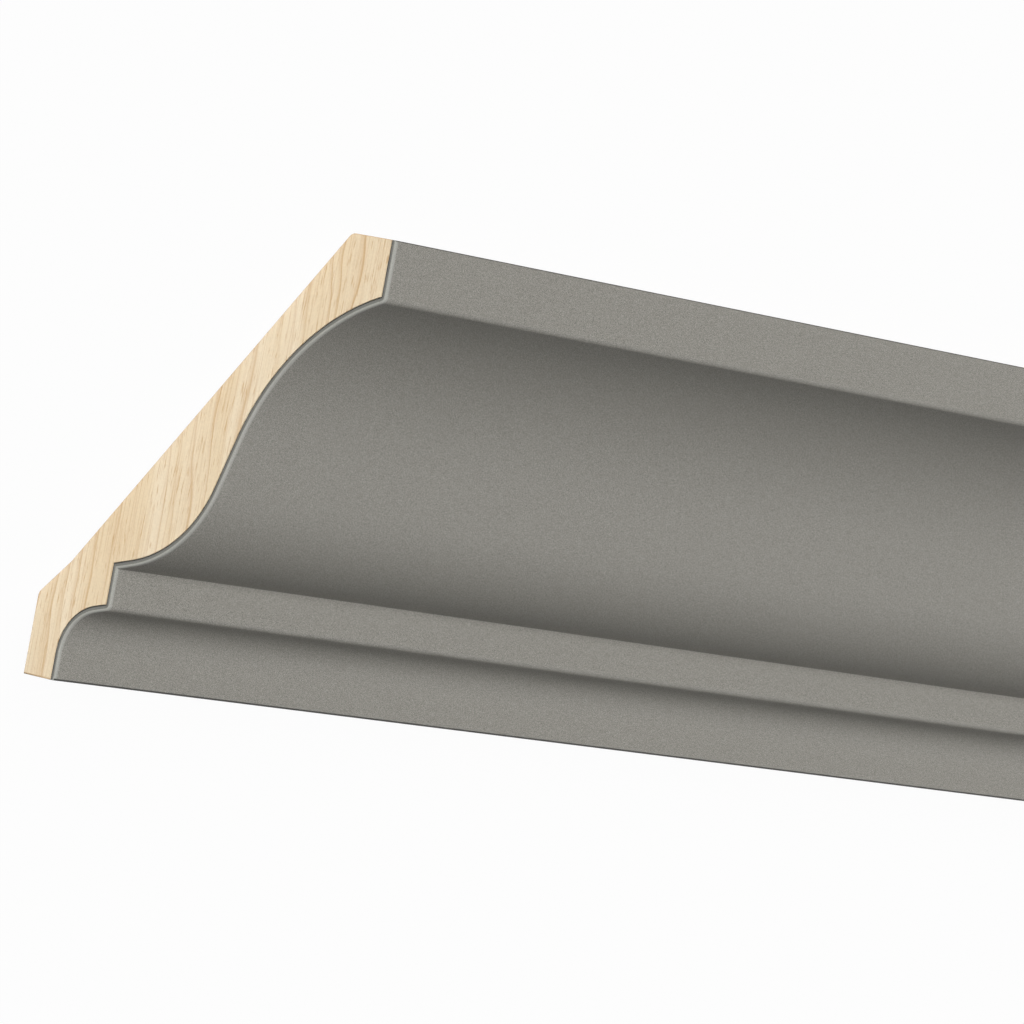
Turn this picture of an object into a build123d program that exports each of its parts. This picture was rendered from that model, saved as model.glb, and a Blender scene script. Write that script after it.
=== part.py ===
from math import atan2, cos, degrees, radians, sin, tan
import os

from build123d import *

os.makedirs("parts", exist_ok=True)

# A cornice moulding, square cut, lying on its back as it would on a floor.
# The section is drawn as the moulding hangs: the first number is out from
# the wall and the second is up to the ceiling, in millimetres from the
# bottom corner at the wall. The section is then tipped over, so that the
# back is on the floor and the face is up.

length = 2440.0              # eight foot stock
coat_thickness = 1.3         # coat on the moulded face
coat_corner = 0.45           # rounding of the coat's two long edges
coat_end_round = 0.5         # rounding of the coat where it is cut

# Face of the wood, from the bottom edge up to the ceiling. The rise comes
# to 92, which is 3 5/8 inch.
bottom_thickness = 7.0       # wall to face at the bottom edge
bottom_upright = 5.15        # straight stretch above the bottom edge
low_cove_radius = 10.56
low_soffit = 2.9             # straight underside out to the lower fillet
low_fillet_height = 7.87
high_soffit = 4.67           # straight underside out to the ovolo
ovolo_radius = 24.9
waist_length = 9.95          # straight run between ovolo and cove
cove_radius = 49.15
top_fillet_height = 10.5
soffit_slope = 15.5          # degrees both undersides climb from level
waist_angle = 18.0           # degrees the waist leans out from upright
cove_top_angle = 68.5        # degrees the cove leans out where it ends

# Wall edge, back and ceiling edge of the wood. The long back comes to
# 38 degrees from the wall, and the foot stands a little proud of it.
wall_edge_height = 15.55     # flat that bears on the wall
foot_run = 6.85              # foot of the back, out from the wall
foot_rise = 6.94             # foot of the back, up from the wall edge
ceiling_edge_width = 9.7     # flat that bears on the ceiling
back_corner_ease = 1.8       # rounding of both back corners


def go(start, distance, angle):
    """The point at a distance from start, at an angle up from level."""
    return (
        start[0] + distance * cos(radians(angle)),
        start[1] + distance * sin(radians(angle)),
    )


# Points of the face, each from the one before it
face_bottom = (bottom_thickness, 0.0)
low_cove_end = go(face_bottom, bottom_upright, 90)
low_cove_centre = go(low_cove_end, low_cove_radius, 0)
low_cove_middle = go(low_cove_centre, low_cove_radius, 135 + soffit_slope / 2)
low_cove_start = go(low_cove_centre, low_cove_radius, 90 + soffit_slope)
low_fillet_bottom = go(low_cove_start, low_soffit, soffit_slope)
low_fillet_top = go(low_fillet_bottom, low_fillet_height, 90)
ovolo_end = go(low_fillet_top, high_soffit, soffit_slope)
ovolo_centre = go(ovolo_end, ovolo_radius, 90 + soffit_slope)
ovolo_middle = go(ovolo_centre, ovolo_radius, (soffit_slope - 90 - waist_angle) / 2)
ovolo_start = go(ovolo_centre, ovolo_radius, -waist_angle)
cove_end = go(ovolo_start, waist_length, 90 - waist_angle)
cove_centre = go(cove_end, cove_radius, -waist_angle)
cove_middle = go(cove_centre, cove_radius, 180 - (cove_top_angle + waist_angle) / 2)
cove_top = go(cove_centre, cove_radius, 180 - cove_top_angle)
face_top = go(cove_top, top_fillet_height, 90)

# Corners of the back
rise = face_top[1]
foot_top = (foot_run, wall_edge_height + foot_rise)
ceiling_edge_back = (face_top[0] - ceiling_edge_width, rise)

# The part rests on the roundings of the two back corners. The line
# through their centres gives the tip of the section as it lies.
foot_angle = degrees(atan2(foot_run, foot_rise))
spring_angle = degrees(
    atan2(ceiling_edge_back[0] - foot_top[0], rise - foot_top[1])
)
low_ease_centre = (
    back_corner_ease,
    wall_edge_height - back_corner_ease * tan(radians(foot_angle / 2)),
)
high_ease_centre = (
    ceiling_edge_back[0] + back_corner_ease * tan(radians(45 - spring_angle / 2)),
    rise - back_corner_ease,
)
lie_angle = degrees(
    atan2(
        high_ease_centre[0] - low_ease_centre[0],
        high_ease_centre[1] - low_ease_centre[1],
    )
)
lie_sin = sin(radians(lie_angle))
lie_cos = cos(radians(lie_angle))


def across(point):
    """Place of a section point across the floor."""
    return point[0] * lie_sin + point[1] * lie_cos


def above(point):
    """Height of a section point in the direction away from the floor."""
    return point[0] * lie_cos - point[1] * lie_sin


# Centre the width, and put the two back corners on the floor
high_corner_centre = (face_top[0] + coat_thickness - coat_corner, rise - coat_corner)
low_side = across((0.0, 0.0))
high_side = across(high_corner_centre) + coat_corner
floor_height = above(low_ease_centre) - back_corner_ease
section_plane = Plane(
    origin=(0, -(low_side + high_side) / 2, -floor_height),
    x_dir=(0, lie_sin, lie_cos),
    z_dir=(-1, 0, 0),
)


def draw_face():
    """The face of the wood, from the ceiling edge down to the bottom edge."""
    Line(face_top, cove_top)
    ThreePointArc(cove_top, cove_middle, cove_end)
    Line(cove_end, ovolo_start)
    ThreePointArc(ovolo_start, ovolo_middle, ovolo_end)
    Polyline(ovolo_end, low_fillet_top, low_fillet_bottom, low_cove_start)
    ThreePointArc(low_cove_start, low_cove_middle, low_cove_end)
    Line(low_cove_end, face_bottom)


# The wood, one solid length
with BuildPart() as wood_core:
    with BuildSketch(section_plane) as wood_section:
        with BuildLine():
            draw_face()
            Polyline(face_bottom, (0, 0), (0, wall_edge_height))
            Polyline((0, wall_edge_height), foot_top, ceiling_edge_back, face_top)
        make_face()
        for corner in ((0, wall_edge_height, 0), (*ceiling_edge_back, 0)):
            nearest = wood_section.vertices().sort_by_distance(corner)[0]
            fillet(nearest, radius=back_corner_ease)
    extrude(amount=length / 2, both=True)


with BuildLine() as wood_face:
    draw_face()


def on_outer_skin(edge):
    """True for the edges of the coat's cut end that lie on its outer skin."""
    spot = section_plane.to_local_coords(edge @ 0.5)
    return wood_face.line.distance_to(Vector(spot.X, spot.Y, 0)) > coat_thickness / 2


# The coat, an even layer over the face, rounded over the face's corners
with BuildPart() as face_coat:
    with BuildSketch(section_plane) as coat_section:
        with BuildLine():
            draw_face()
            offset(amount=coat_thickness, side=Side.LEFT, kind=Kind.ARC, closed=True)
        make_face()
        for wood_corner in (face_top, face_bottom):
            corner = (wood_corner[0] + coat_thickness, wood_corner[1], 0)
            nearest = coat_section.vertices().sort_by_distance(corner)[0]
            fillet(nearest, radius=coat_corner)
    extrude(amount=length / 2, both=True)
    for end in (faces().sort_by(Axis.X)[0], faces().sort_by(Axis.X)[-1]):
        lip = [edge for edge in end.edges() if on_outer_skin(edge)]
        fillet(lip, radius=coat_end_round)

wood_core.part.label = "wood_core"
face_coat.part.label = "face_coat"

for piece in (wood_core, face_coat):
    box = piece.part.bounding_box()
    print(
        piece.part.label,
        "size %.2f x %.2f x %.2f mm" % (box.size.X, box.size.Y, box.size.Z),
        "from y %.2f z %.2f" % (box.min.Y, box.min.Z),
        "volume %.0f cm3" % (piece.part.volume / 1000.0),
    )
    export_step(piece.part, "parts/%s.step" % piece.part.label)
print("rise %.2f, projection %.2f mm" % (rise, face_top[0] + coat_thickness))
print("spring %.2f, lies at %.2f degrees" % (spring_angle, lie_angle))
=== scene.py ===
import math

import bmesh
import bpy
from bpy.props import FloatProperty, FloatVectorProperty, IntProperty, PointerProperty
from bpy.types import Operator, Panel, PropertyGroup
from mathutils import Matrix, Vector


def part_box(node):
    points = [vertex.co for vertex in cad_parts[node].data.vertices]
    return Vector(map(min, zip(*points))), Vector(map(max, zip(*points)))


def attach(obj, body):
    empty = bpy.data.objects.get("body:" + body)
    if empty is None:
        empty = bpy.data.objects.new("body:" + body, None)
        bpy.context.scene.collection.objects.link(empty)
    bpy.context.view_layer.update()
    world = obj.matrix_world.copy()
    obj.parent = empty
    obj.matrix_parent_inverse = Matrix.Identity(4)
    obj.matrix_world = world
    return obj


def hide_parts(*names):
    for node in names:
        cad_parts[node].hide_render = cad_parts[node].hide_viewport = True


bl_info = {
    "name": "Cornice Moulding",
    "version": (1, 0, 0),
    "blender": (4, 5, 0),
    "location": "View3D > Sidebar > Moulding",
    "description": "Dresses a coated wood cornice moulding and sets its studio",
    "category": "Object",
}

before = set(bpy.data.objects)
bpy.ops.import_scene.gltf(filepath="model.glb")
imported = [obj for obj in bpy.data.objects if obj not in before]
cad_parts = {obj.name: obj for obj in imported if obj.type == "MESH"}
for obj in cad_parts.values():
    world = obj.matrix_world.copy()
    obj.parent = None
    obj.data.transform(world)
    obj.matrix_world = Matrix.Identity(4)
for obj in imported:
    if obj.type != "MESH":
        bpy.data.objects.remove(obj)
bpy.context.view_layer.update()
HALF_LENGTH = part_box("wood_core")[1].x
RIGHT_ANGLE = math.pi / 2
SAME_POINT = 1e-6

# Material slots of both pieces, in the order in which their finishes are added
WOOD_CUT_EDGE = 1
# All coat slots but the first carry painted light: dark shade in the joint and long edges, a highlight on
# the cut face and lip, shade beside the joint
COAT_FACE, COAT_DARK_SHADE, COAT_CUT_HIGHLIGHT, COAT_SHADOW = range(4)

# The fine tooth: turned so that no flat face lies along the noise's own grid, with a weak cloud in it
TOOTH_TURN = (0.6, 0.4, 0.9)
CLOUD_SCALE = 0.16
CLOUD_SHARE = 0.04

# Growth lines: how fast their bands, spacing and strength change from one line to the next
BAND_SCALE = 0.55
SPACING_SCALE = 0.45
SPACING_SHIFT = 3.0
STRENGTH_SCALE = 1.30

# Ramps of the wood's figure, each stop as position and level
BAND_STOPS = ((0.40, 0.0), (0.62, 1.0))
STRENGTH_STOPS = ((0.38, 0.22), (0.64, 1.0))
RING_STOPS = ((0.50, 0.0), (0.86, 0.36), (0.94, 1.0), (1.0, 0.0))
STREAK_STOPS = ((0.50, 0.0), (0.68, 1.0))
DASH_STOPS = ((0.62, 0.0), (0.72, 1.0))


# Sizes, finishes and studio settings that a user can change


def metres(name, default, description):
    """A length that shows in the scene's own unit."""
    return FloatProperty(
        name=name,
        description=description,
        default=default,
        min=0.0,
        precision=5,
        unit="LENGTH",
        subtype="DISTANCE",
    )


def extent(name, default, description):
    """Three lengths of the wood's figure: along the moulding, up and out, as it hangs."""
    return FloatVectorProperty(
        name=name,
        description=description,
        default=default,
        size=3,
        min=0.0,
        precision=5,
        unit="LENGTH",
        subtype="XYZ",
    )


def millimetres(name, default, description):
    """A length of the camera's own parts."""
    return FloatProperty(
        name=name,
        description=description,
        default=default,
        min=1.0,
        max=1000.0,
        unit="CAMERA",
    )


def degrees(name, default, description):
    """An angle, given in degrees and kept in radians."""
    return FloatProperty(
        name=name,
        description=description,
        default=math.radians(default),
        unit="ROTATION",
        subtype="ANGLE",
    )


def paint(name, default, description):
    """A linear colour."""
    return FloatVectorProperty(
        name=name,
        description=description,
        default=default,
        size=3,
        min=0.0,
        max=1.0,
        subtype="COLOR",
    )


def number(name, default, description, low=0.0, top=10.0):
    """A plain factor."""
    return FloatProperty(
        name=name,
        description=description,
        default=default,
        min=low,
        max=top,
        subtype="FACTOR",
    )


def count(name, default, description):
    """A small whole number."""
    return IntProperty(name=name, description=description, default=default, min=1, max=12)


class SectionSizes(PropertyGroup):
    """Sizes of the moulding's section as it hangs, out from the wall and up to the ceiling."""

    bottom_thickness: metres("Bottom thickness", 0.0070, "Wall to face at the bottom edge")
    bottom_upright: metres("Bottom upright", 0.00515, "Straight stretch above the bottom edge")
    low_cove_radius: metres("Low cove radius", 0.01056, "Radius of the small cove")
    low_soffit: metres("Low soffit", 0.0029, "Underside of the lower fillet")
    low_fillet_height: metres("Low fillet height", 0.00787, "Height of the lower fillet")
    high_soffit: metres("High soffit", 0.00467, "Straight underside below the ovolo")
    ovolo_radius: metres("Ovolo radius", 0.0249, "Radius of the round below the waist")
    waist_length: metres("Waist length", 0.00995, "Straight run between ovolo and cove")
    cove_radius: metres("Cove radius", 0.04915, "Radius of the large cove")
    top_fillet_height: metres("Top fillet height", 0.0105, "Height of the upper fillet")
    soffit_slope: degrees("Soffit slope", 15.5, "Climb of both undersides from level")
    waist_angle: degrees("Waist angle", 18.0, "Lean of the waist from upright")
    cove_top_angle: degrees("Cove top angle", 68.5, "Lean of the cove where it ends")
    wall_edge_height: metres("Wall edge height", 0.01555, "Flat that bears on the wall")
    foot_run: metres("Foot run", 0.00685, "Foot of the back, out from the wall")
    foot_rise: metres("Foot rise", 0.00694, "Foot of the back, up from the wall edge")
    ceiling_edge_width: metres("Ceiling edge width", 0.0097, "Flat that bears on the ceiling")
    back_corner_ease: metres("Back corner ease", 0.0018, "Rounding of both back corners")
    coat_thickness: metres("Coat thickness", 0.0013, "Even layer on the moulded face")
    arc_step: degrees("Arc step", 1.5, "Largest turn between two points of an arc")


class EdgeSizes(PropertyGroup):
    """Small roundings that catch the light."""

    lip_across: metres("Lip across", 0.00032, "Rounding of the coat's cut edge, through its thickness")
    lip_along: metres("Lip along", 0.00068, "Rounding of the coat's cut edge, along the length")
    groove_width: metres("Groove width", 0.00098, "Coat's cut face that falls back towards the wood")
    groove_depth: metres("Groove depth", 0.00028, "How far the coat's cut face falls back beside the wood")
    # Painted shade on the coat's cut face: a dark line for the shadow in the gap beside the wood, then a
    # lighter band
    gap_shade_width: metres("Joint width", 0.00034, "Dark line between the wood and the coat")
    # Up to the shade width the coat's cut face carries painted shade; beyond it the painted highlight
    shade_width: metres("Shade width", 0.00076, "From the wood to the end of the painted shade on the coat's cut face")
    coat_bottom_round: metres("Coat bottom rounding", 0.00078, "Long bottom edge of the coat")
    coat_top_round: metres("Coat top rounding", 0.00050, "Long top edge of the coat")
    # The dark turns of both long roundings take painted shade, where they turn away from the light
    coat_bottom_dark: degrees("Dark bottom edge", 60.0, "Turn of the coat's bottom rounding that is dark")
    coat_top_dark: degrees("Dark top edge", 45.0, "Turn of the coat's top rounding that is dark")
    coat_segments: count("Coat segments", 8, "Faces across the lip and the groove")
    coat_sharp: degrees("Coat sharp edge", 40.0, "Smallest turn that stays a sharp edge in the coat")
    wood_edge_round: metres("Wood edge rounding", 0.00013, "Sawn and planed edges of the wood")
    wood_bottom_round: metres("Wood bottom rounding", 0.00032, "Bottom edge of the wood where it is cut")
    wood_segments: count("Wood segments", 3, "Faces across the rounding of the wood's edges")
    wood_sharp: degrees("Wood sharp edge", 30.0, "Smallest turn that stays a sharp edge in the wood")


class WoodFinish(PropertyGroup):
    """Colours and figure of the bare wood."""

    pale: paint("Pale wood", (0.768, 0.655, 0.485), "Pale growth between the lines")
    warm: paint("Warm band", (0.722, 0.590, 0.405), "Broad warmer bands")
    line: paint("Growth line", (0.505, 0.308, 0.140), "Late growth, and the fine dashes")
    edge: paint("Cut edge", (0.590, 0.400, 0.220), "Narrow rounding all round the cut end")
    edge_share: number("Cut edge share", 0.7, "Strength of the cut edge's colour", top=1.0)
    ring_spacing: metres("Ring spacing", 0.0036, "Distance between growth lines, out from the wall")
    ring_length: metres("Ring length", 1.4, "Distance along the moulding in which the lines change")
    ring_height: metres("Ring height", 0.16, "Distance up in which the lines change")
    ring_share: number("Ring share", 0.85, "Strength of the growth lines", top=1.0)
    wander: metres("Wander", 0.0110, "How far a growth line can stray")
    wander_size: extent("Wander size", (0.9, 0.045, 0.02), "Distance in which a line strays and comes back")
    streak_size: extent("Streak size", (0.25, 0.016, 0.00034), "Size of the fine streaks")
    streak_share: number("Streak share", 0.34, "Strength of the fine streaks", top=1.0)
    dash_size: extent("Dash size", (0.03, 0.0034, 0.00028), "Size of the fine dashes")
    dash_share: number("Dash share", 0.62, "Strength of the fine dashes", top=1.0)
    tooth: metres("Wood tooth size", 0.0004, "Size of the wood's fine grain")
    speckle: number("Wood speckle", 0.10, "Strength of the wood's speckle")
    roughness: number("Wood roughness", 0.62, "Roughness of the sawn wood", top=1.0)
    gloss: number("Wood gloss", 0.25, "Specular level of the wood, where 0.5 is a plain plastic", top=1.0)
    relief: metres("Wood relief", 0.00015, "Depth of the wood's grain and pores")
    relief_share: number("Wood relief share", 0.12, "Strength of the wood's relief", top=1.0)


class CoatFinish(PropertyGroup):
    """Colour and tooth of the grey coat, and the painted shade and painted highlight at its cut end and
    long edges.
    """

    grey: paint("Coat grey", (0.277, 0.266, 0.237), "Colour of the coat")
    # Painted highlight: a lighter copy of the coat grey on the cut face and the lip, for the light its
    # crest catches
    cut: paint("Cut coat", (0.332, 0.331, 0.303), "Lighter cut face of the coat")
    # Painted shade: a darker copy of the coat grey on the cut face beside the dark line
    shadow: paint("Joint's shadow", (0.180, 0.179, 0.163), "Cut face of the coat beside the dark line")
    # Painted shade: the dark line stands for the shadow in the gap beside the wood and on the long
    # roundings
    joint: paint("Joint", (0.074, 0.073, 0.067), "Dark line beside the wood and on both long edges")
    tooth: metres("Tooth size", 0.00015, "Size of the coat's fine grain")
    speckle: number("Speckle", 1.55, "Strength of the coat's speckle")
    cut_speckle: number("Cut speckle", 0.45, "Strength of the speckle where the coat is cut")
    roughness: number("Coat roughness", 0.71, "Roughness of the coat", top=1.0)
    gloss: number("Coat gloss", 0.065, "Specular level of the coat, where 0.5 is a plain plastic", top=1.0)
    relief: metres("Coat relief", 0.0001, "Depth of the coat's tooth")
    relief_share: number("Coat relief share", 0.12, "Strength of the coat's relief", top=1.0)


class StudioSettings(PropertyGroup):
    """Lights, floor and the photographer's camera."""

    key_out: number("Key out", 1.0, "Key light's direction, out from the wall")
    key_up: number("Key up", 0.21, "Key light's direction, up to the ceiling", low=-10.0)
    key_end: number("Key to the end", 0.90, "Key light's direction, towards the near end", low=-10.0)
    key_level: number("Key level", 1.07, "Light of the key lamp on a face square to it")
    key_softness: degrees("Key softness", 26.0, "Apparent size of the key lamp and of the fill lamp")
    sheen_out: number("Sheen out", 0.555, "Sheen lamp's direction, out from the wall")
    sheen_up: number("Sheen up", -0.36, "Sheen lamp's direction, up to the ceiling", low=-10.0)
    sheen_end: number("Sheen to the end", -0.575, "Sheen lamp's direction, towards the near end", low=-10.0)
    sheen_level: number("Sheen level", 2.85, "Light of the sheen lamp, which shows in the gloss only")
    sheen_softness: degrees("Sheen softness", 40.0, "Apparent size of the sheen lamp")
    fill_out: number("Fill out", 0.3, "Fill lamp's direction, out from the wall")
    fill_up: number("Fill up", -1.0, "Fill lamp's direction, up to the ceiling", low=-10.0)
    fill_level: number("Fill level", 0.06, "Light of the weak lamp below the face, as it hangs")
    near_level: number("Near end level", 0.31, "Light of the lamp that faces the near cut end")
    far_level: number("Far end level", 0.95, "Light of the lamp that faces the far cut end")
    end_softness: degrees("End softness", 8.0, "Apparent size of the lamps that face the cut ends")
    lamp_distance: metres("Lamp distance", 3.0, "Where the lamps stand, with no effect on their light")
    room_level: number("Room level", 0.02, "Light from the room all round")
    room_white: number("Room white", 0.985, "White that the camera sees beyond the floor", top=1.0)
    floor_white: number("Floor white", 0.97, "Share of white that the camera sees in the floor", top=1.0)
    floor_tone: number("Floor tone", 0.65, "Lightness of the floor's own surface", top=1.0)
    floor_reach: metres("Floor reach", 40.0, "From the middle of the floor to its sides")
    lens: millimetres("Lens", 253.25, "Focal length")
    film_width: millimetres("Film width", 36.0, "Width of the camera's film")
    nearest: metres("Nearest", 0.05, "Nearest that the camera sees")
    farthest: metres("Farthest", 100.0, "Farthest that the camera sees")
    camera_out: metres("Camera out", 0.9388, "Camera's distance out from the wall")
    camera_ahead: metres("Camera ahead", 0.9726, "Camera's distance ahead of the near end")
    camera_up: metres("Camera up", 0.0757, "Camera's height over the bottom edge")
    camera_turn: degrees("Camera turn", 40.405, "Camera's turn from the moulding's length to the wall")
    camera_tilt: degrees("Camera tilt", -1.234, "Camera's tilt above level")
    camera_roll: degrees("Camera roll", 10.63, "Camera's roll about its own line of sight")


# The section, worked out the same way for both pieces and for the camera


def go(start, distance, angle):
    """The point at a distance from start, at an angle up from level."""
    return Vector((start[0] + distance * math.cos(angle), start[1] + distance * math.sin(angle)))


class Section:
    """Points of the section as it hangs, and the way it lies on the floor."""

    def __init__(self, sizes):
        slope, waist, top = sizes.soffit_slope, sizes.waist_angle, sizes.cove_top_angle
        self.sizes = sizes
        self.face_bottom = Vector((sizes.bottom_thickness, 0.0))
        low_cove_end = go(self.face_bottom, sizes.bottom_upright, RIGHT_ANGLE)
        self.low_cove_centre = go(low_cove_end, sizes.low_cove_radius, 0.0)
        low_cove_start = go(self.low_cove_centre, sizes.low_cove_radius, RIGHT_ANGLE + slope)
        self.low_fillet_bottom = go(low_cove_start, sizes.low_soffit, slope)
        self.low_fillet_top = go(self.low_fillet_bottom, sizes.low_fillet_height, RIGHT_ANGLE)
        ovolo_end = go(self.low_fillet_top, sizes.high_soffit, slope)
        self.ovolo_centre = go(ovolo_end, sizes.ovolo_radius, RIGHT_ANGLE + slope)
        ovolo_start = go(self.ovolo_centre, sizes.ovolo_radius, -waist)
        cove_end = go(ovolo_start, sizes.waist_length, RIGHT_ANGLE - waist)
        self.cove_centre = go(cove_end, sizes.cove_radius, -waist)
        self.cove_top = go(self.cove_centre, sizes.cove_radius, math.pi - top)
        self.face_top = go(self.cove_top, sizes.top_fillet_height, RIGHT_ANGLE)
        self.foot_top = Vector((sizes.foot_run, sizes.wall_edge_height + sizes.foot_rise))
        self.settle()

    def settle(self):
        """Finds how the section tips over to rest on its two back corners."""
        ease = self.sizes.back_corner_ease
        ceiling_edge_back = self.face_top - Vector((self.sizes.ceiling_edge_width, 0.0))
        back = ceiling_edge_back - self.foot_top
        self.foot_angle = math.atan2(self.sizes.foot_run, self.sizes.foot_rise)
        self.spring = math.atan2(back.x, back.y)
        low_ease = ease * math.tan(self.foot_angle / 2)
        high_ease = ease * math.tan(math.pi / 4 - self.spring / 2)
        self.low_ease_centre = Vector((ease, self.sizes.wall_edge_height - low_ease))
        self.high_ease_centre = ceiling_edge_back + Vector((high_ease, -ease))
        lie = self.high_ease_centre - self.low_ease_centre
        self.lie_angle = math.atan2(lie.x, lie.y)
        self.floor_height = self.turned(self.low_ease_centre)[1] - ease
        self.middle = self.turned((0.0, 0.0))[0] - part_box("wood_core")[0].y

    def turned(self, point):
        """A section point turned to the way it lies: across the floor and above it."""
        lie_sin, lie_cos = math.sin(self.lie_angle), math.cos(self.lie_angle)
        return point[0] * lie_sin + point[1] * lie_cos, point[0] * lie_cos - point[1] * lie_sin

    def place(self, along, point):
        """The row's place of a section point, at a distance along the length."""
        across, above = self.turned(point)
        return Vector((along, across - self.middle, above - self.floor_height))

    def direction(self, out, along, up):
        """A direction given as the moulding hangs, in the row's axes."""
        across, above = self.turned((out, up))
        return Vector((along, across, above)).normalized()

    def arc(self, centre, radius, first, last):
        """Points of an arc between two angles, as many for any radius."""
        steps = max(1, math.ceil(abs(last - first) / self.sizes.arc_step))
        return [go(centre, radius, first + (last - first) * step / steps) for step in range(steps + 1)]

    def face(self, layer):
        """The face from the ceiling down, a layer's thickness in front of the wood."""
        sizes = self.sizes
        slope, waist, top = sizes.soffit_slope, sizes.waist_angle, sizes.cove_top_angle
        inner_corner = self.low_fillet_top + Vector(
            (layer, -layer * math.cos(slope) + layer * (1 - math.sin(slope)) * math.tan(slope))
        )
        points = [self.face_top + Vector((layer, 0.0))]
        points += self.arc(self.cove_top, layer, 0.0, -top)
        points += self.arc(self.cove_centre, sizes.cove_radius - layer, math.pi - top, math.pi - waist)
        points += self.arc(self.ovolo_centre, sizes.ovolo_radius + layer, -waist, slope - RIGHT_ANGLE)
        points += [inner_corner]
        points += self.arc(self.low_fillet_bottom, layer, 0.0, slope - RIGHT_ANGLE)
        low_cove_radius = sizes.low_cove_radius - layer
        points += self.arc(self.low_cove_centre, low_cove_radius, RIGHT_ANGLE + slope, math.pi)
        return [*points, self.face_bottom + Vector((layer, 0.0))]

    def skin(self, layer, top_round, bottom_round):
        """The face a layer in front of the wood, with its two long edges rounded."""
        top_centre = self.face_top + Vector((layer - top_round, -top_round))
        bottom_centre = self.face_bottom + Vector((layer - bottom_round, bottom_round))
        points = self.arc(top_centre, top_round, RIGHT_ANGLE, 0.0)
        points += self.face(layer)[1:-1]
        return points + self.arc(bottom_centre, bottom_round, 0.0, -RIGHT_ANGLE)

    def back(self):
        """The wood's outline from the bottom edge up the wall and back, to the ceiling edge."""
        ease = self.sizes.back_corner_ease
        low_arc = self.arc(self.low_ease_centre, ease, math.pi, math.pi - self.foot_angle)
        high_arc = self.arc(self.high_ease_centre, ease, math.pi - self.spring, RIGHT_ANGLE)
        return [Vector((0.0, 0.0)), *low_arc, self.foot_top, *high_arc]


def without_repeats(points):
    """Leaves out points that fall on the one before them."""
    kept = [points[0]]
    for point in points[1:]:
        if (point - kept[-1]).length > SAME_POINT:
            kept.append(point)
    return kept


# Meshes


def bar_through(name, rings, cap, cap_finish=0, finish_of=lambda ring, place: 0):
    """A closed bar through rings of points. Its cap is a list of faces, given as places in a ring."""
    mesh = bmesh.new()
    loops = [[mesh.verts.new(point) for point in ring] for ring in rings]
    for ring, (loop, after) in enumerate(zip(loops, loops[1:])):
        for place, vertex in enumerate(loop):
            following = (place + 1) % len(loop)
            face = mesh.faces.new((vertex, loop[following], after[following], after[place]))
            face.material_index = finish_of(ring, place)
    for loop in (loops[0], loops[-1]):
        for corners in cap:
            face = mesh.faces.new([loop[place] for place in corners])
            face.material_index = cap_finish
    bmesh.ops.remove_doubles(mesh, verts=mesh.verts, dist=SAME_POINT)
    bmesh.ops.recalc_face_normals(mesh, faces=mesh.faces)
    data = bpy.data.meshes.new(name)
    mesh.to_mesh(data)
    mesh.free()
    piece = bpy.data.objects.new(name, data)
    bpy.context.scene.collection.objects.link(piece)
    return piece


def round_cut_ends(piece, edges, bottom):
    """Rounds the wood's edges round both cut ends. The bottom edge is given by its place in the outline."""
    layer = piece.data.attributes.new("bevel_weight_edge", "FLOAT", "EDGE")
    places = len(piece.data.vertices) // 2
    for edge in piece.data.edges:
        first, last = sorted(index % places for index in edge.vertices)
        same_end = edge.vertices[0] // places == edge.vertices[1] // places
        if same_end and first == bottom:
            layer.data[edge.index].value = 1.0
        elif same_end and (first > bottom or last == places - 1):
            layer.data[edge.index].value = edges.wood_edge_round / edges.wood_bottom_round
    bevel = piece.modifiers.new("Rounded cut ends", "BEVEL")
    bevel.limit_method = "WEIGHT"
    bevel.width = edges.wood_bottom_round
    bevel.segments = edges.wood_segments
    bevel.use_clamp_overlap = False
    bevel.material = WOOD_CUT_EDGE


def shade(piece, sharp_from):
    """Smooth curves, with the flat faces kept flat."""
    piece.data.shade_smooth()
    piece.data.set_sharp_from_angle(angle=sharp_from)
    normals = piece.modifiers.new("Flat faces stay flat", "WEIGHTED_NORMAL")
    normals.keep_sharp = True
    normals.weight = 80


# Shader nodes


def add_node(tree, kind, place, label="", **values):
    """A node with its settings, at a place on the sheet."""
    node = tree.nodes.new(kind)
    node.location = place
    node.label = label
    for key, value in values.items():
        setattr(node, key, value)
    return node


def feed(tree, value, socket):
    """Links an input to another node's output, or sets it to a number, a vector or a colour."""
    if isinstance(value, bpy.types.NodeSocket):
        tree.links.new(value, socket)
    elif socket.type == "RGBA":
        socket.default_value = (*value, 1.0)
    else:
        socket.default_value = value


def add_math(tree, place, operation, *values, label=""):
    """A Math node on up to three values."""
    node = add_node(tree, "ShaderNodeMath", place, label, operation=operation)
    for value, socket in zip(values, node.inputs):
        feed(tree, value, socket)
    return node.outputs[0]


def add_noise(tree, place, vector, label, scale=1.0, detail=0.0):
    """A Noise texture read at a vector."""
    node = add_node(tree, "ShaderNodeTexNoise", place, label)
    feed(tree, vector, node.inputs["Vector"])
    feed(tree, scale, node.inputs["Scale"])
    feed(tree, detail, node.inputs["Detail"])
    return node.outputs["Fac"]


def add_stretch(tree, place, vector, sizes, label):
    """A vector divided by a size along each axis."""
    node = add_node(tree, "ShaderNodeVectorMath", place, label, operation="DIVIDE")
    feed(tree, vector, node.inputs[0])
    feed(tree, sizes, node.inputs[1])
    return node.outputs[0]


def add_scale(tree, place, vector, factor, label):
    """A vector or a colour times a number."""
    node = add_node(tree, "ShaderNodeVectorMath", place, label, operation="SCALE")
    feed(tree, vector, node.inputs[0])
    feed(tree, factor, node.inputs["Scale"])
    return node.outputs[0]


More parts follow.
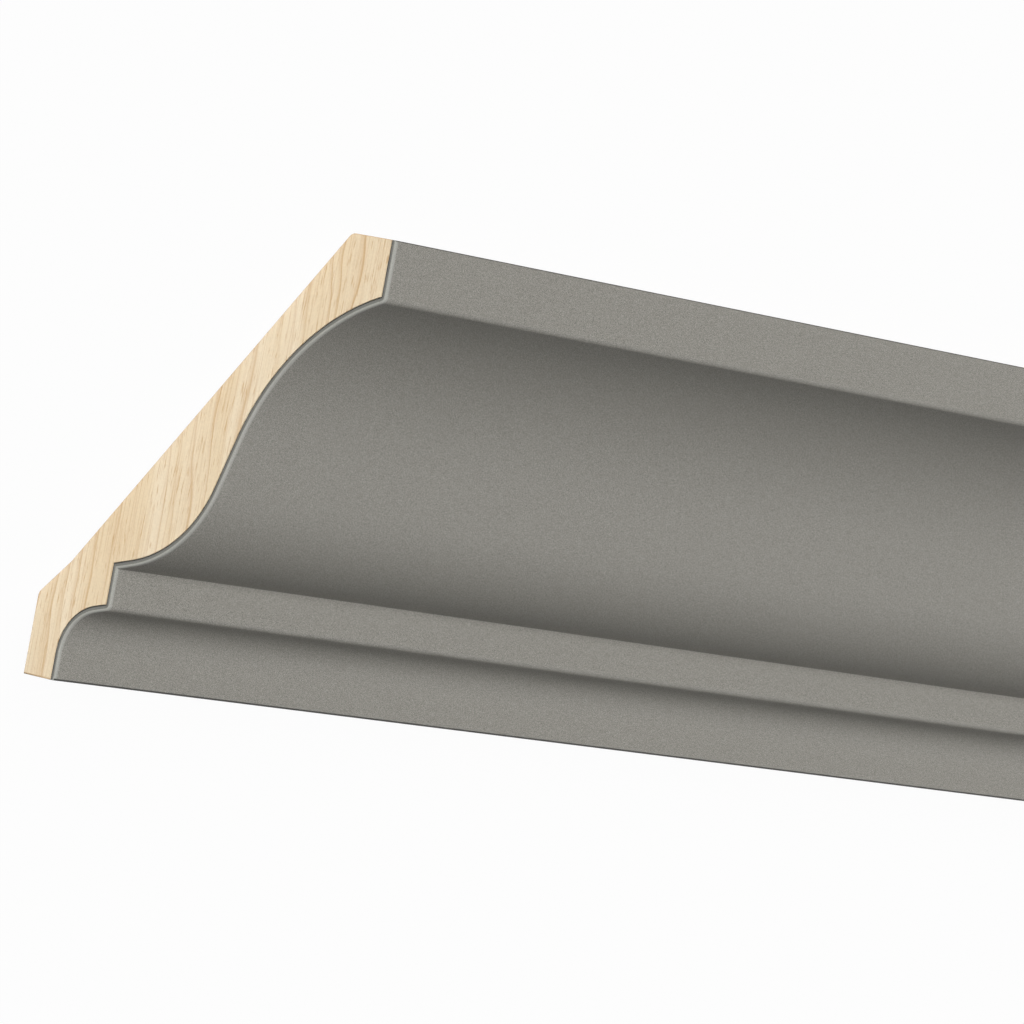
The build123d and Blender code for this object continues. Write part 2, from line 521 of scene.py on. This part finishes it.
def add_ramp(tree, place, factor, stops, label):
    """A straight ramp of grey stops, given as position and level."""
    node = add_node(tree, "ShaderNodeValToRGB", place, label)
    elements = node.color_ramp.elements
    while len(elements) < len(stops):
        elements.new(0.5)
    for element, (position, level) in zip(elements, stops):
        element.position = position
        element.color = (level, level, level, 1.0)
    feed(tree, factor, node.inputs["Fac"])
    return node.outputs["Color"]


def add_mix(tree, place, factor, first, second, label):
    """A mix of two colours."""
    node = add_node(tree, "ShaderNodeMix", place, label, data_type="RGBA")
    feed(tree, factor, node.inputs["Factor"])
    colours = [socket for socket in node.inputs if socket.type == "RGBA"]
    feed(tree, first, colours[0])
    feed(tree, second, colours[1])
    return [socket for socket in node.outputs if socket.type == "RGBA"][0]


# Node groups for the grain and tooth that more than one finish uses


def new_group(name, inputs, outputs):
    """An empty node group with named sockets, given as name and kind."""
    group = bpy.data.node_groups.new(name, "ShaderNodeTree")
    for direction, sockets in (("INPUT", inputs), ("OUTPUT", outputs)):
        for socket_name, kind in sockets.items():
            group.interface.new_socket(socket_name, in_out=direction, socket_type="NodeSocket" + kind)
    return group


def use_group(tree, place, group, values):
    """A node group placed in a material, with its own values."""
    node = add_node(tree, "ShaderNodeGroup", place, group.name, node_tree=group)
    for name, value in values.items():
        feed(tree, value, node.inputs[name])
    return node.outputs


def fine_tooth_group():
    """A fine grain of bright and dark specks: a tone about 1, and a height for bump."""
    group = bpy.data.node_groups.get("Fine tooth")
    if group:
        return group
    inputs = {"Vector": "Vector", "Size": "Float", "Amount": "Float"}
    group = new_group("Fine tooth", inputs, {"Tone": "Float", "Height": "Float"})
    given = add_node(group, "NodeGroupInput", (-900, 0)).outputs
    result = add_node(group, "NodeGroupOutput", (500, 0)).inputs

    turned = add_node(group, "ShaderNodeVectorRotate", (-700, 0), "Turned", rotation_type="EULER_XYZ")
    feed(group, given["Vector"], turned.inputs["Vector"])
    feed(group, TOOTH_TURN, turned.inputs["Rotation"])
    per_metre = add_math(group, (-700, -160), "DIVIDE", 1.0, given["Size"], label="Specks per metre")
    scaled = add_scale(group, (-520, 0), turned.outputs[0], per_metre, "Scaled")
    specks = add_noise(group, (-320, 60), scaled, "Specks")
    cloud = add_noise(group, (-320, -160), scaled, "Cloud", scale=CLOUD_SCALE, detail=2.0)
    centred = add_math(group, (-120, 60), "SUBTRACT", specks, 0.5)
    cloud_centred = add_math(group, (-120, -160), "SUBTRACT", cloud, 0.5)
    cloud_part = add_math(group, (40, -160), "MULTIPLY", cloud_centred, CLOUD_SHARE, label="Cloud share")
    both = add_math(group, (40, 60), "ADD", centred, cloud_part)
    swing = add_math(group, (200, 60), "MULTIPLY", both, given["Amount"])
    feed(group, add_math(group, (340, 60), "ADD", swing, 1.0), result["Tone"])
    feed(group, specks, result["Height"])
    return group


def pale_grain_group():
    """The bare wood's figure: its colour, and the pores as a mask."""
    group = bpy.data.node_groups.get("Pale grain")
    if group:
        return group
    inputs = {
        "Vector": "Vector",
        "Pale": "Color",
        "Warm": "Color",
        "Line": "Color",
        "Ring spacing": "Float",
        "Ring length": "Float",
        "Ring height": "Float",
        "Ring share": "Float",
        "Wander": "Float",
        "Wander size": "Vector",
        "Streak size": "Vector",
        "Streak share": "Float",
        "Dash size": "Vector",
        "Dash share": "Float",
    }
    group = new_group("Pale grain", inputs, {"Color": "Color", "Pores": "Float"})
    given = add_node(group, "NodeGroupInput", (-2000, 0)).outputs
    result = add_node(group, "NodeGroupOutput", (900, 0)).inputs
    bands, lines = growth_lines(group, given)

    # Fine streaks, and short dashes of pores, both longest along the length
    streak_place = add_stretch(group, (-1640, -60), given["Vector"], given["Streak size"], "Streak place")
    streaks = add_noise(group, (-1460, -60), streak_place, "Streaks", detail=2.0)
    streak_mask = add_ramp(group, (-1280, -60), streaks, STREAK_STOPS, "Streaks only")
    dash_place = add_stretch(group, (-1640, -300), given["Vector"], given["Dash size"], "Dash place")
    dashes = add_noise(group, (-1460, -300), dash_place, "Dashes", detail=1.0)
    dash_mask = add_ramp(group, (-1280, -300), dashes, DASH_STOPS, "Dashes only")

    colour = add_mix(group, (120, 420), bands, given["Pale"], given["Warm"], "Bands")
    line_part = add_math(group, (120, 240), "MULTIPLY", lines, given["Ring share"])
    colour = add_mix(group, (300, 360), line_part, colour, given["Line"], "Growth lines")
    streak_part = add_math(group, (120, 60), "MULTIPLY", streak_mask, given["Streak share"])
    colour = add_mix(group, (480, 300), streak_part, colour, given["Line"], "Streaks")
    dash_part = add_math(group, (120, -120), "MULTIPLY", dash_mask, given["Dash share"])
    colour = add_mix(group, (660, 240), dash_part, colour, given["Line"], "Dashes")
    feed(group, colour, result["Color"])
    feed(group, dash_part, result["Pores"])
    return group


def growth_lines(tree, given):
    """Growth lines out from the wall: each darkens slowly and ends sharply, and no two are alike."""
    split = add_node(tree, "ShaderNodeSeparateXYZ", (-1640, 240), "Along, up, out")
    feed(tree, given["Vector"], split.inputs[0])
    along, up, out = split.outputs
    wander_place = add_stretch(tree, (-1640, 420), given["Vector"], given["Wander size"], "Wander place")
    wander = add_noise(tree, (-1460, 420), wander_place, "Wander", detail=2.0)
    strayed = add_math(tree, (-1280, 420), "MULTIPLY_ADD", wander, given["Wander"], out, label="Strayed")
    row = add_math(tree, (-1100, 420), "DIVIDE", strayed, given["Ring spacing"], label="Rows")
    slow_along = add_math(tree, (-1100, 240), "DIVIDE", along, given["Ring length"], label="Slow along")
    slow_up = add_math(tree, (-1100, 80), "DIVIDE", up, given["Ring height"], label="Slow up")
    joined = add_node(tree, "ShaderNodeCombineXYZ", (-920, 320), "Row place")
    for value, socket in zip((slow_along, slow_up, row), joined.inputs):
        feed(tree, value, socket)
    place = joined.outputs[0]
    broad = add_noise(tree, (-740, 520), place, "Broad bands", scale=BAND_SCALE, detail=2.0)
    uneven = add_noise(tree, (-740, 320), place, "Uneven spacing", scale=SPACING_SCALE, detail=1.0)
    strength = add_noise(tree, (-740, 120), place, "Uneven strength", scale=STRENGTH_SCALE, detail=1.0)
    shifted = add_math(tree, (-560, 320), "MULTIPLY_ADD", uneven, SPACING_SHIFT, row, label="Uneven rows")
    saw = add_math(tree, (-400, 320), "FRACT", shifted, label="One ring")
    ring = add_ramp(tree, (-240, 320), saw, RING_STOPS, "Late growth")
    weight = add_ramp(tree, (-560, 120), strength, STRENGTH_STOPS, "Ring strength")
    lines = add_math(tree, (-60, 320), "MULTIPLY", ring, weight)
    bands = add_ramp(tree, (-560, 520), broad, BAND_STOPS, "Warm bands")
    return bands, lines


# Materials


def new_finish(name, roughness, gloss):
    """A material with one Principled shader."""
    material = bpy.data.materials.new(name)
    material.use_nodes = True
    tree = material.node_tree
    tree.nodes.clear()
    shader = add_node(tree, "ShaderNodeBsdfPrincipled", (300, 0))
    feed(tree, roughness, shader.inputs["Roughness"])
    feed(tree, gloss, shader.inputs["Specular IOR Level"])
    output = add_node(tree, "ShaderNodeOutputMaterial", (600, 0))
    feed(tree, shader.outputs[0], output.inputs[0])
    return material, tree, shader


def hanging_coordinates(tree, section):
    """Object coordinates turned to the way the moulding hangs: along, up, out."""
    coordinates = add_node(tree, "ShaderNodeTexCoord", (-900, 0))
    turn = add_node(tree, "ShaderNodeVectorRotate", (-720, 0), "As it hangs", rotation_type="X_AXIS")
    feed(tree, coordinates.outputs["Object"], turn.inputs["Vector"])
    feed(tree, section.lie_angle, turn.inputs["Angle"])
    return turn.outputs[0]


def add_tooth(tree, hang, size, amount):
    """The fine tooth, placed in a material."""
    values = {"Vector": hang, "Size": size, "Amount": amount}
    return use_group(tree, (-500, -200), fine_tooth_group(), values)


def dress_shader(tree, shader, finish, colour, tone, height):
    """Gives the shader a colour that a tone about 1 speckles, and a relief from a height."""
    speckled = add_scale(tree, (60, 60), colour, tone, "Speckled")
    feed(tree, speckled, shader.inputs["Base Color"])
    bump = add_node(tree, "ShaderNodeBump", (60, -200), "Relief")
    feed(tree, finish.relief_share, bump.inputs["Strength"])
    feed(tree, finish.relief, bump.inputs["Distance"])
    feed(tree, height, bump.inputs["Height"])
    feed(tree, bump.outputs[0], shader.inputs["Normal"])


def wood_material(section, finish, name, edge_share):
    """Pale sawn wood. Its lines stand upright at the cut end and run along the length."""
    material, tree, shader = new_finish(name, finish.roughness, finish.gloss)
    hang = hanging_coordinates(tree, section)
    values = {
        "Vector": hang,
        "Pale": finish.pale,
        "Warm": finish.warm,
        "Line": finish.line,
        "Ring spacing": finish.ring_spacing,
        "Ring length": finish.ring_length,
        "Ring height": finish.ring_height,
        "Ring share": finish.ring_share,
        "Wander": finish.wander,
        "Wander size": finish.wander_size,
        "Streak size": finish.streak_size,
        "Streak share": finish.streak_share,
        "Dash size": finish.dash_size,
        "Dash share": finish.dash_share,
    }
    grain = use_group(tree, (-500, 300), pale_grain_group(), values)
    tooth = add_tooth(tree, hang, finish.tooth, finish.speckle)
    colour = grain["Color"]
    if edge_share > 0.0:
        colour = add_mix(tree, (-200, 240), edge_share, colour, finish.edge, "Cut edge")
    height = add_math(tree, (-200, -200), "SUBTRACT", tooth["Height"], grain["Pores"], label="Sunk pores")
    dress_shader(tree, shader, finish, colour, tooth["Tone"], height)
    return material


def coat_material(section, finish, name, colour, speckle):
    """Low-sheen grey coat with a fine mottled tooth."""
    material, tree, shader = new_finish(name, finish.roughness, finish.gloss)
    tooth = add_tooth(tree, hanging_coordinates(tree, section), finish.tooth, speckle)
    dress_shader(tree, shader, finish, colour, tooth["Tone"], tooth["Height"])
    return material


def seen_rays(tree, place):
    """1 for what the camera sees, straight or in a gloss or a glass."""
    across, up = place
    path = add_node(tree, "ShaderNodeLightPath", place).outputs
    seen = add_math(tree, (across + 180, up), "MAXIMUM", path["Is Camera Ray"], path["Is Glossy Ray"])
    return add_math(tree, (across + 340, up), "MAXIMUM", seen, path["Is Transmission Ray"])


def mix_shaders(tree, place, share, first, second, output):
    """A mix of two shaders, as the material's or the world's output."""
    mixed = add_node(tree, "ShaderNodeMixShader", place)
    for value, socket in zip((share, first.outputs[0], second.outputs[0]), mixed.inputs):
        feed(tree, value, socket)
    feed(tree, mixed.outputs[0], output.inputs[0])


def floor_material(studio):
    """A white floor that takes the shadow and shows almost plain white to the camera."""
    material, tree, shader = new_finish("studio floor", 1.0, 0.0)
    feed(tree, [studio.floor_tone] * 3, shader.inputs["Base Color"])
    white = add_node(tree, "ShaderNodeEmission", (300, 200), "Plain white")
    share = add_math(tree, (200, 400), "MULTIPLY", seen_rays(tree, (-200, 400)), studio.floor_white)
    output = tree.nodes["Material Output"]
    output.location = (800, 100)
    mix_shaders(tree, (600, 100), share, shader, white, output)
    return material


# Operators


class MOULDING_OT_wood_core(Operator):
    """Builds the wood core and gives it its pale wood"""

    bl_idname = "moulding.wood_core"
    bl_label = "Wood Core"
    bl_options = {"REGISTER", "UNDO"}

    def execute(self, context):
        section = Section(context.scene.moulding_section)
        edges = context.scene.moulding_edges
        finish = context.scene.moulding_wood
        face = without_repeats(section.face(0.0))
        outline = without_repeats(face + section.back())
        ends = (-HALF_LENGTH, HALF_LENGTH)
        rings = [[section.place(along, point) for point in outline] for along in ends]
        core = bar_through("wood_core_dressed", rings, [range(len(outline))])
        round_cut_ends(core, edges, len(face) - 1)
        shade(core, edges.wood_sharp)
        for name, edge_share in (("pale wood", 0.0), ("pale wood, cut edge", finish.edge_share)):
            core.data.materials.append(wood_material(section, finish, name, edge_share))
        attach(core, "root")
        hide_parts("wood_core")
        return {"FINISHED"}


class MOULDING_OT_face_coat(Operator):
    """Builds the coat on the face, with its lip where it is cut"""

    bl_idname = "moulding.face_coat"
    bl_label = "Face Coat"
    bl_options = {"REGISTER", "UNDO"}

    def execute(self, context):
        section = Section(context.scene.moulding_section)
        edges = context.scene.moulding_edges
        finish = context.scene.moulding_coat
        steps = edges.coat_segments
        near = [self.ring(section, edges, step, -1.0) for step in range(steps + 1)]
        far = [self.ring(section, edges, step, 1.0) for step in range(steps + 1)]
        last = len(near[0]) - 1
        skin_end = last // 2
        strip = [(place, place + 1, last - place - 1, last - place) for place in range(skin_end)]
        top_dark = round(edges.coat_top_dark / section.sizes.arc_step)
        bottom_dark = skin_end - round(edges.coat_bottom_dark / section.sizes.arc_step)

        def finish_of(ring, place):
            """The material slot of the face that follows a ring, at a place in the outline: the plain coat,
            painted shade or painted highlight.
            """
            step = min(ring, 2 * steps - ring)
            if place > skin_end and step < steps:
                from_wood = edges.groove_width * (1.0 - math.sin(RIGHT_ANGLE * (step + 0.5) / steps))
                # On the cut face: painted dark shade beside the wood, lighter painted shade, then the
                # painted highlight
                if from_wood < edges.gap_shade_width:
                    return COAT_DARK_SHADE
                return COAT_SHADOW if from_wood < edges.shade_width else COAT_CUT_HIGHLIGHT
            # Painted dark shade on both long roundings, where they turn away from the light
            if place < top_dark or bottom_dark <= place <= skin_end:
                return COAT_DARK_SHADE
            # The lip's rounding takes the painted highlight, its last step the plain coat
            return COAT_CUT_HIGHLIGHT if step < steps - 1 else COAT_FACE

        # The cut face itself takes the painted highlight
        coat = bar_through("face_coat_dressed", near + far[::-1], strip, COAT_CUT_HIGHLIGHT, finish_of)
        shade(coat, edges.coat_sharp)
        # The plain coat, then its copies with painted dark shade, painted highlight and painted shade
        for name, colour, speckle in (
            ("grey coat", finish.grey, finish.speckle),
            ("grey coat, painted dark shade", finish.joint, finish.cut_speckle),
            ("grey coat, cut face, painted highlight", finish.cut, finish.cut_speckle),
            ("grey coat, painted shade beside the joint", finish.shadow, finish.cut_speckle),
        ):
            coat.data.materials.append(coat_material(section, finish, name, colour, speckle))
        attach(coat, "root")
        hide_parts("face_coat")
        return {"FINISHED"}

    @staticmethod
    def ring(section, edges, step, side):
        """The coat's outline at one step of the rounding, from the cut face inwards."""
        turn = RIGHT_ANGLE * step / edges.coat_segments
        inward, short = 1 - math.cos(turn), 1 - math.sin(turn)
        layer = section.sizes.coat_thickness - edges.lip_across * short
        skin_along = side * (HALF_LENGTH - edges.lip_along * inward)
        wood_along = side * (HALF_LENGTH - edges.groove_depth * inward)
        skin = section.skin(layer, edges.coat_top_round, edges.coat_bottom_round)
        under = section.skin(edges.groove_width * short, 0.0, 0.0)
        return [section.place(skin_along, point) for point in skin] + [
            section.place(wood_along, point) for point in reversed(under)
        ]


class MOULDING_OT_studio(Operator):
    """Sets the white floor, the lamps, the room's light and the camera"""

    bl_idname = "moulding.studio"
    bl_label = "Studio"
    bl_options = {"REGISTER", "UNDO"}

    def execute(self, context):
        studio = context.scene.moulding_studio
        section = Section(context.scene.moulding_section)
        self.make_floor(context, studio)
        self.make_room(context, studio)
        key = section.direction(studio.key_out, -studio.key_end, studio.key_up)
        sheen = section.direction(studio.sheen_out, -studio.sheen_end, studio.sheen_up)
        fill = section.direction(studio.fill_out, 0.0, studio.fill_up)
        near, far = Vector((-1.0, 0.0, 0.0)), Vector((1.0, 0.0, 0.0))
        self.make_lamp(context, "key lamp", key, studio.key_level, studio.key_softness)
        gloss = self.make_lamp(context, "sheen lamp", sheen, studio.sheen_level, studio.sheen_softness)
        gloss.visible_diffuse = False
        self.make_lamp(context, "fill lamp", fill, studio.fill_level, studio.key_softness)
        self.make_lamp(context, "near end lamp", near, studio.near_level, studio.end_softness)
        self.make_lamp(context, "far end lamp", far, studio.far_level, studio.end_softness)
        self.make_camera(context, section, studio)
        return {"FINISHED"}

    def make_floor(self, context, studio):
        """The floor that the moulding lies on, with its edges far outside any view."""
        mesh = bpy.data.meshes.new("studio_floor")
        reach = studio.floor_reach
        corners = [(-reach, -reach, 0), (reach, -reach, 0), (reach, reach, 0), (-reach, reach, 0)]
        mesh.from_pydata(corners, [], [(0, 1, 2, 3)])
        floor = bpy.data.objects.new("studio_floor", mesh)
        context.scene.collection.objects.link(floor)
        floor.data.materials.append(floor_material(studio))

    def make_room(self, context, studio):
        """Dim light from all round, which the camera sees as white."""
        world = bpy.data.worlds.new("studio room")
        world.use_nodes = True
        context.scene.world = world
        tree = world.node_tree
        tree.nodes.clear()
        light = add_node(tree, "ShaderNodeBackground", (0, 0), "Room light")
        feed(tree, [studio.room_level] * 3, light.inputs["Color"])
        white = add_node(tree, "ShaderNodeBackground", (0, -160), "White")
        feed(tree, [studio.room_white] * 3, white.inputs["Color"])
        output = add_node(tree, "ShaderNodeOutputWorld", (420, 0))
        mix_shaders(tree, (220, 0), seen_rays(tree, (-500, 200)), light, white, output)

    def make_lamp(self, context, name, towards, level, softness):
        """A distant soft lamp. A level of 1 shows a face square to it in its own colour."""
        data = bpy.data.lights.new(name, "SUN")
        data.energy = level * math.pi
        data.angle = softness
        lamp = bpy.data.objects.new(name, data)
        lamp.rotation_mode = "QUATERNION"
        lamp.rotation_quaternion = towards.to_track_quat("Z", "Y")
        lamp.location = towards * context.scene.moulding_studio.lamp_distance
        context.scene.collection.objects.link(lamp)
        return lamp

    def make_camera(self, context, section, studio):
        """The photographer's camera, placed as the moulding hangs."""
        data = bpy.data.cameras.new("photo camera")
        data.lens = studio.lens
        data.sensor_width = studio.film_width
        data.clip_start = studio.nearest
        data.clip_end = studio.farthest
        camera = bpy.data.objects.new("photo camera", data)
        turn, tilt, roll = studio.camera_turn, studio.camera_tilt, studio.camera_roll
        level = math.cos(tilt)
        sight = section.direction(-math.sin(turn) * level, math.cos(turn) * level, math.sin(tilt))
        side = section.direction(math.cos(turn), math.sin(turn), 0.0)
        upward = side.cross(sight)
        rolled_side = side * math.cos(roll) + upward * math.sin(roll)
        rolled_up = upward * math.cos(roll) - side * math.sin(roll)
        spot = section.place(-HALF_LENGTH - studio.camera_ahead, (studio.camera_out, studio.camera_up))
        axes = Matrix((rolled_side, rolled_up, -sight)).transposed().to_4x4()
        camera.matrix_world = Matrix.Translation(spot) @ axes
        context.scene.collection.objects.link(camera)
        context.scene.camera = camera


class MOULDING_PT_panel(Panel):
    """Lists the moulding's pieces, sizes and finishes"""

    bl_label = "Cornice Moulding"
    bl_idname = "MOULDING_PT_panel"
    bl_space_type = "VIEW_3D"
    bl_region_type = "UI"
    bl_category = "Moulding"

    def draw(self, context):
        layout = self.layout
        for operator in OPERATORS:
            layout.operator(operator.bl_idname)
        for name in SETTINGS:
            box = layout.box()
            settings = getattr(context.scene, name)
            for key in settings.__annotations__:
                box.prop(settings, key)


OPERATORS = (MOULDING_OT_wood_core, MOULDING_OT_face_coat, MOULDING_OT_studio)
SETTINGS = {
    "moulding_section": SectionSizes,
    "moulding_edges": EdgeSizes,
    "moulding_wood": WoodFinish,
    "moulding_coat": CoatFinish,
    "moulding_studio": StudioSettings,
}


def register():
    """Makes the settings, the operators and the panel known to Blender."""
    for name, settings in SETTINGS.items():
        bpy.utils.register_class(settings)
        setattr(bpy.types.Scene, name, PointerProperty(type=settings))
    for item in (*OPERATORS, MOULDING_PT_panel):
        bpy.utils.register_class(item)


def unregister():
    """Takes them out again, in the opposite order."""
    for item in (MOULDING_PT_panel, *reversed(OPERATORS)):
        bpy.utils.unregister_class(item)
    for name, settings in reversed(SETTINGS.items()):
        delattr(bpy.types.Scene, name)
        bpy.utils.unregister_class(settings)


def main():
    """Makes every piece and the studio."""
    register()
    bpy.context.scene.view_settings.view_transform = "Standard"
    bpy.ops.moulding.studio()
    bpy.ops.moulding.wood_core()
    bpy.ops.moulding.face_coat()


if __name__ == "__main__":
    main()
